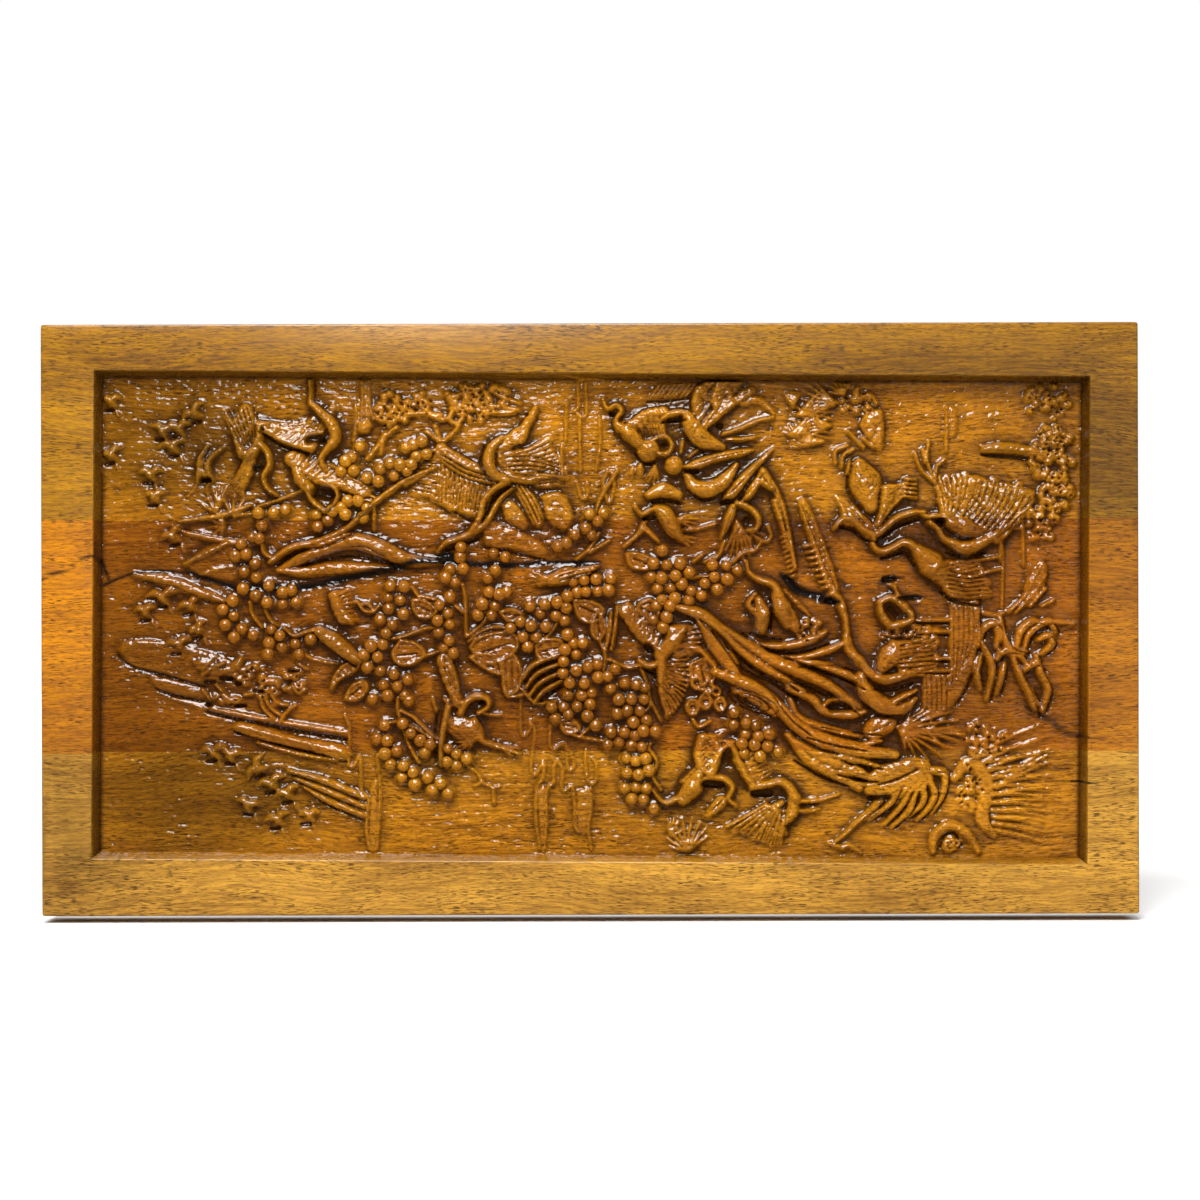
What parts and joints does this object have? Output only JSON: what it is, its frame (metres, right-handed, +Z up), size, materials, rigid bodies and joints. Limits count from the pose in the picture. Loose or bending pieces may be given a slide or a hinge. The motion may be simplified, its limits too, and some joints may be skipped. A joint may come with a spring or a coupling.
{
  "type": "carved wall panel",
  "caption": "Wide carved wooden wall panel: edge-glued boards with a plain border around a sunk relief of cranes, pine boughs, vines with berries and clouds.",
  "frame": {"origin": "centre of the flat back face, where the panel meets the wall", "axes": "+Y into the wall, +X along the panel's length to the right as seen from the front, +Z up; the carved front faces -Y"},
  "size_m": [0.6, 0.025, 0.3236],
  "materials": {
    "board_top": "golden brown open-grained wood, lacquered, darker in the carving",
    "board_middle": "orange brown open-grained wood, lacquered, darker in the carving",
    "board_bottom": "golden olive open-grained wood, lacquered"
  },
  "bodies": {
    "root": {"board_top": "board_top", "board_middle": "board_middle", "board_bottom": "board_bottom"}
  },
  "joints": []
}
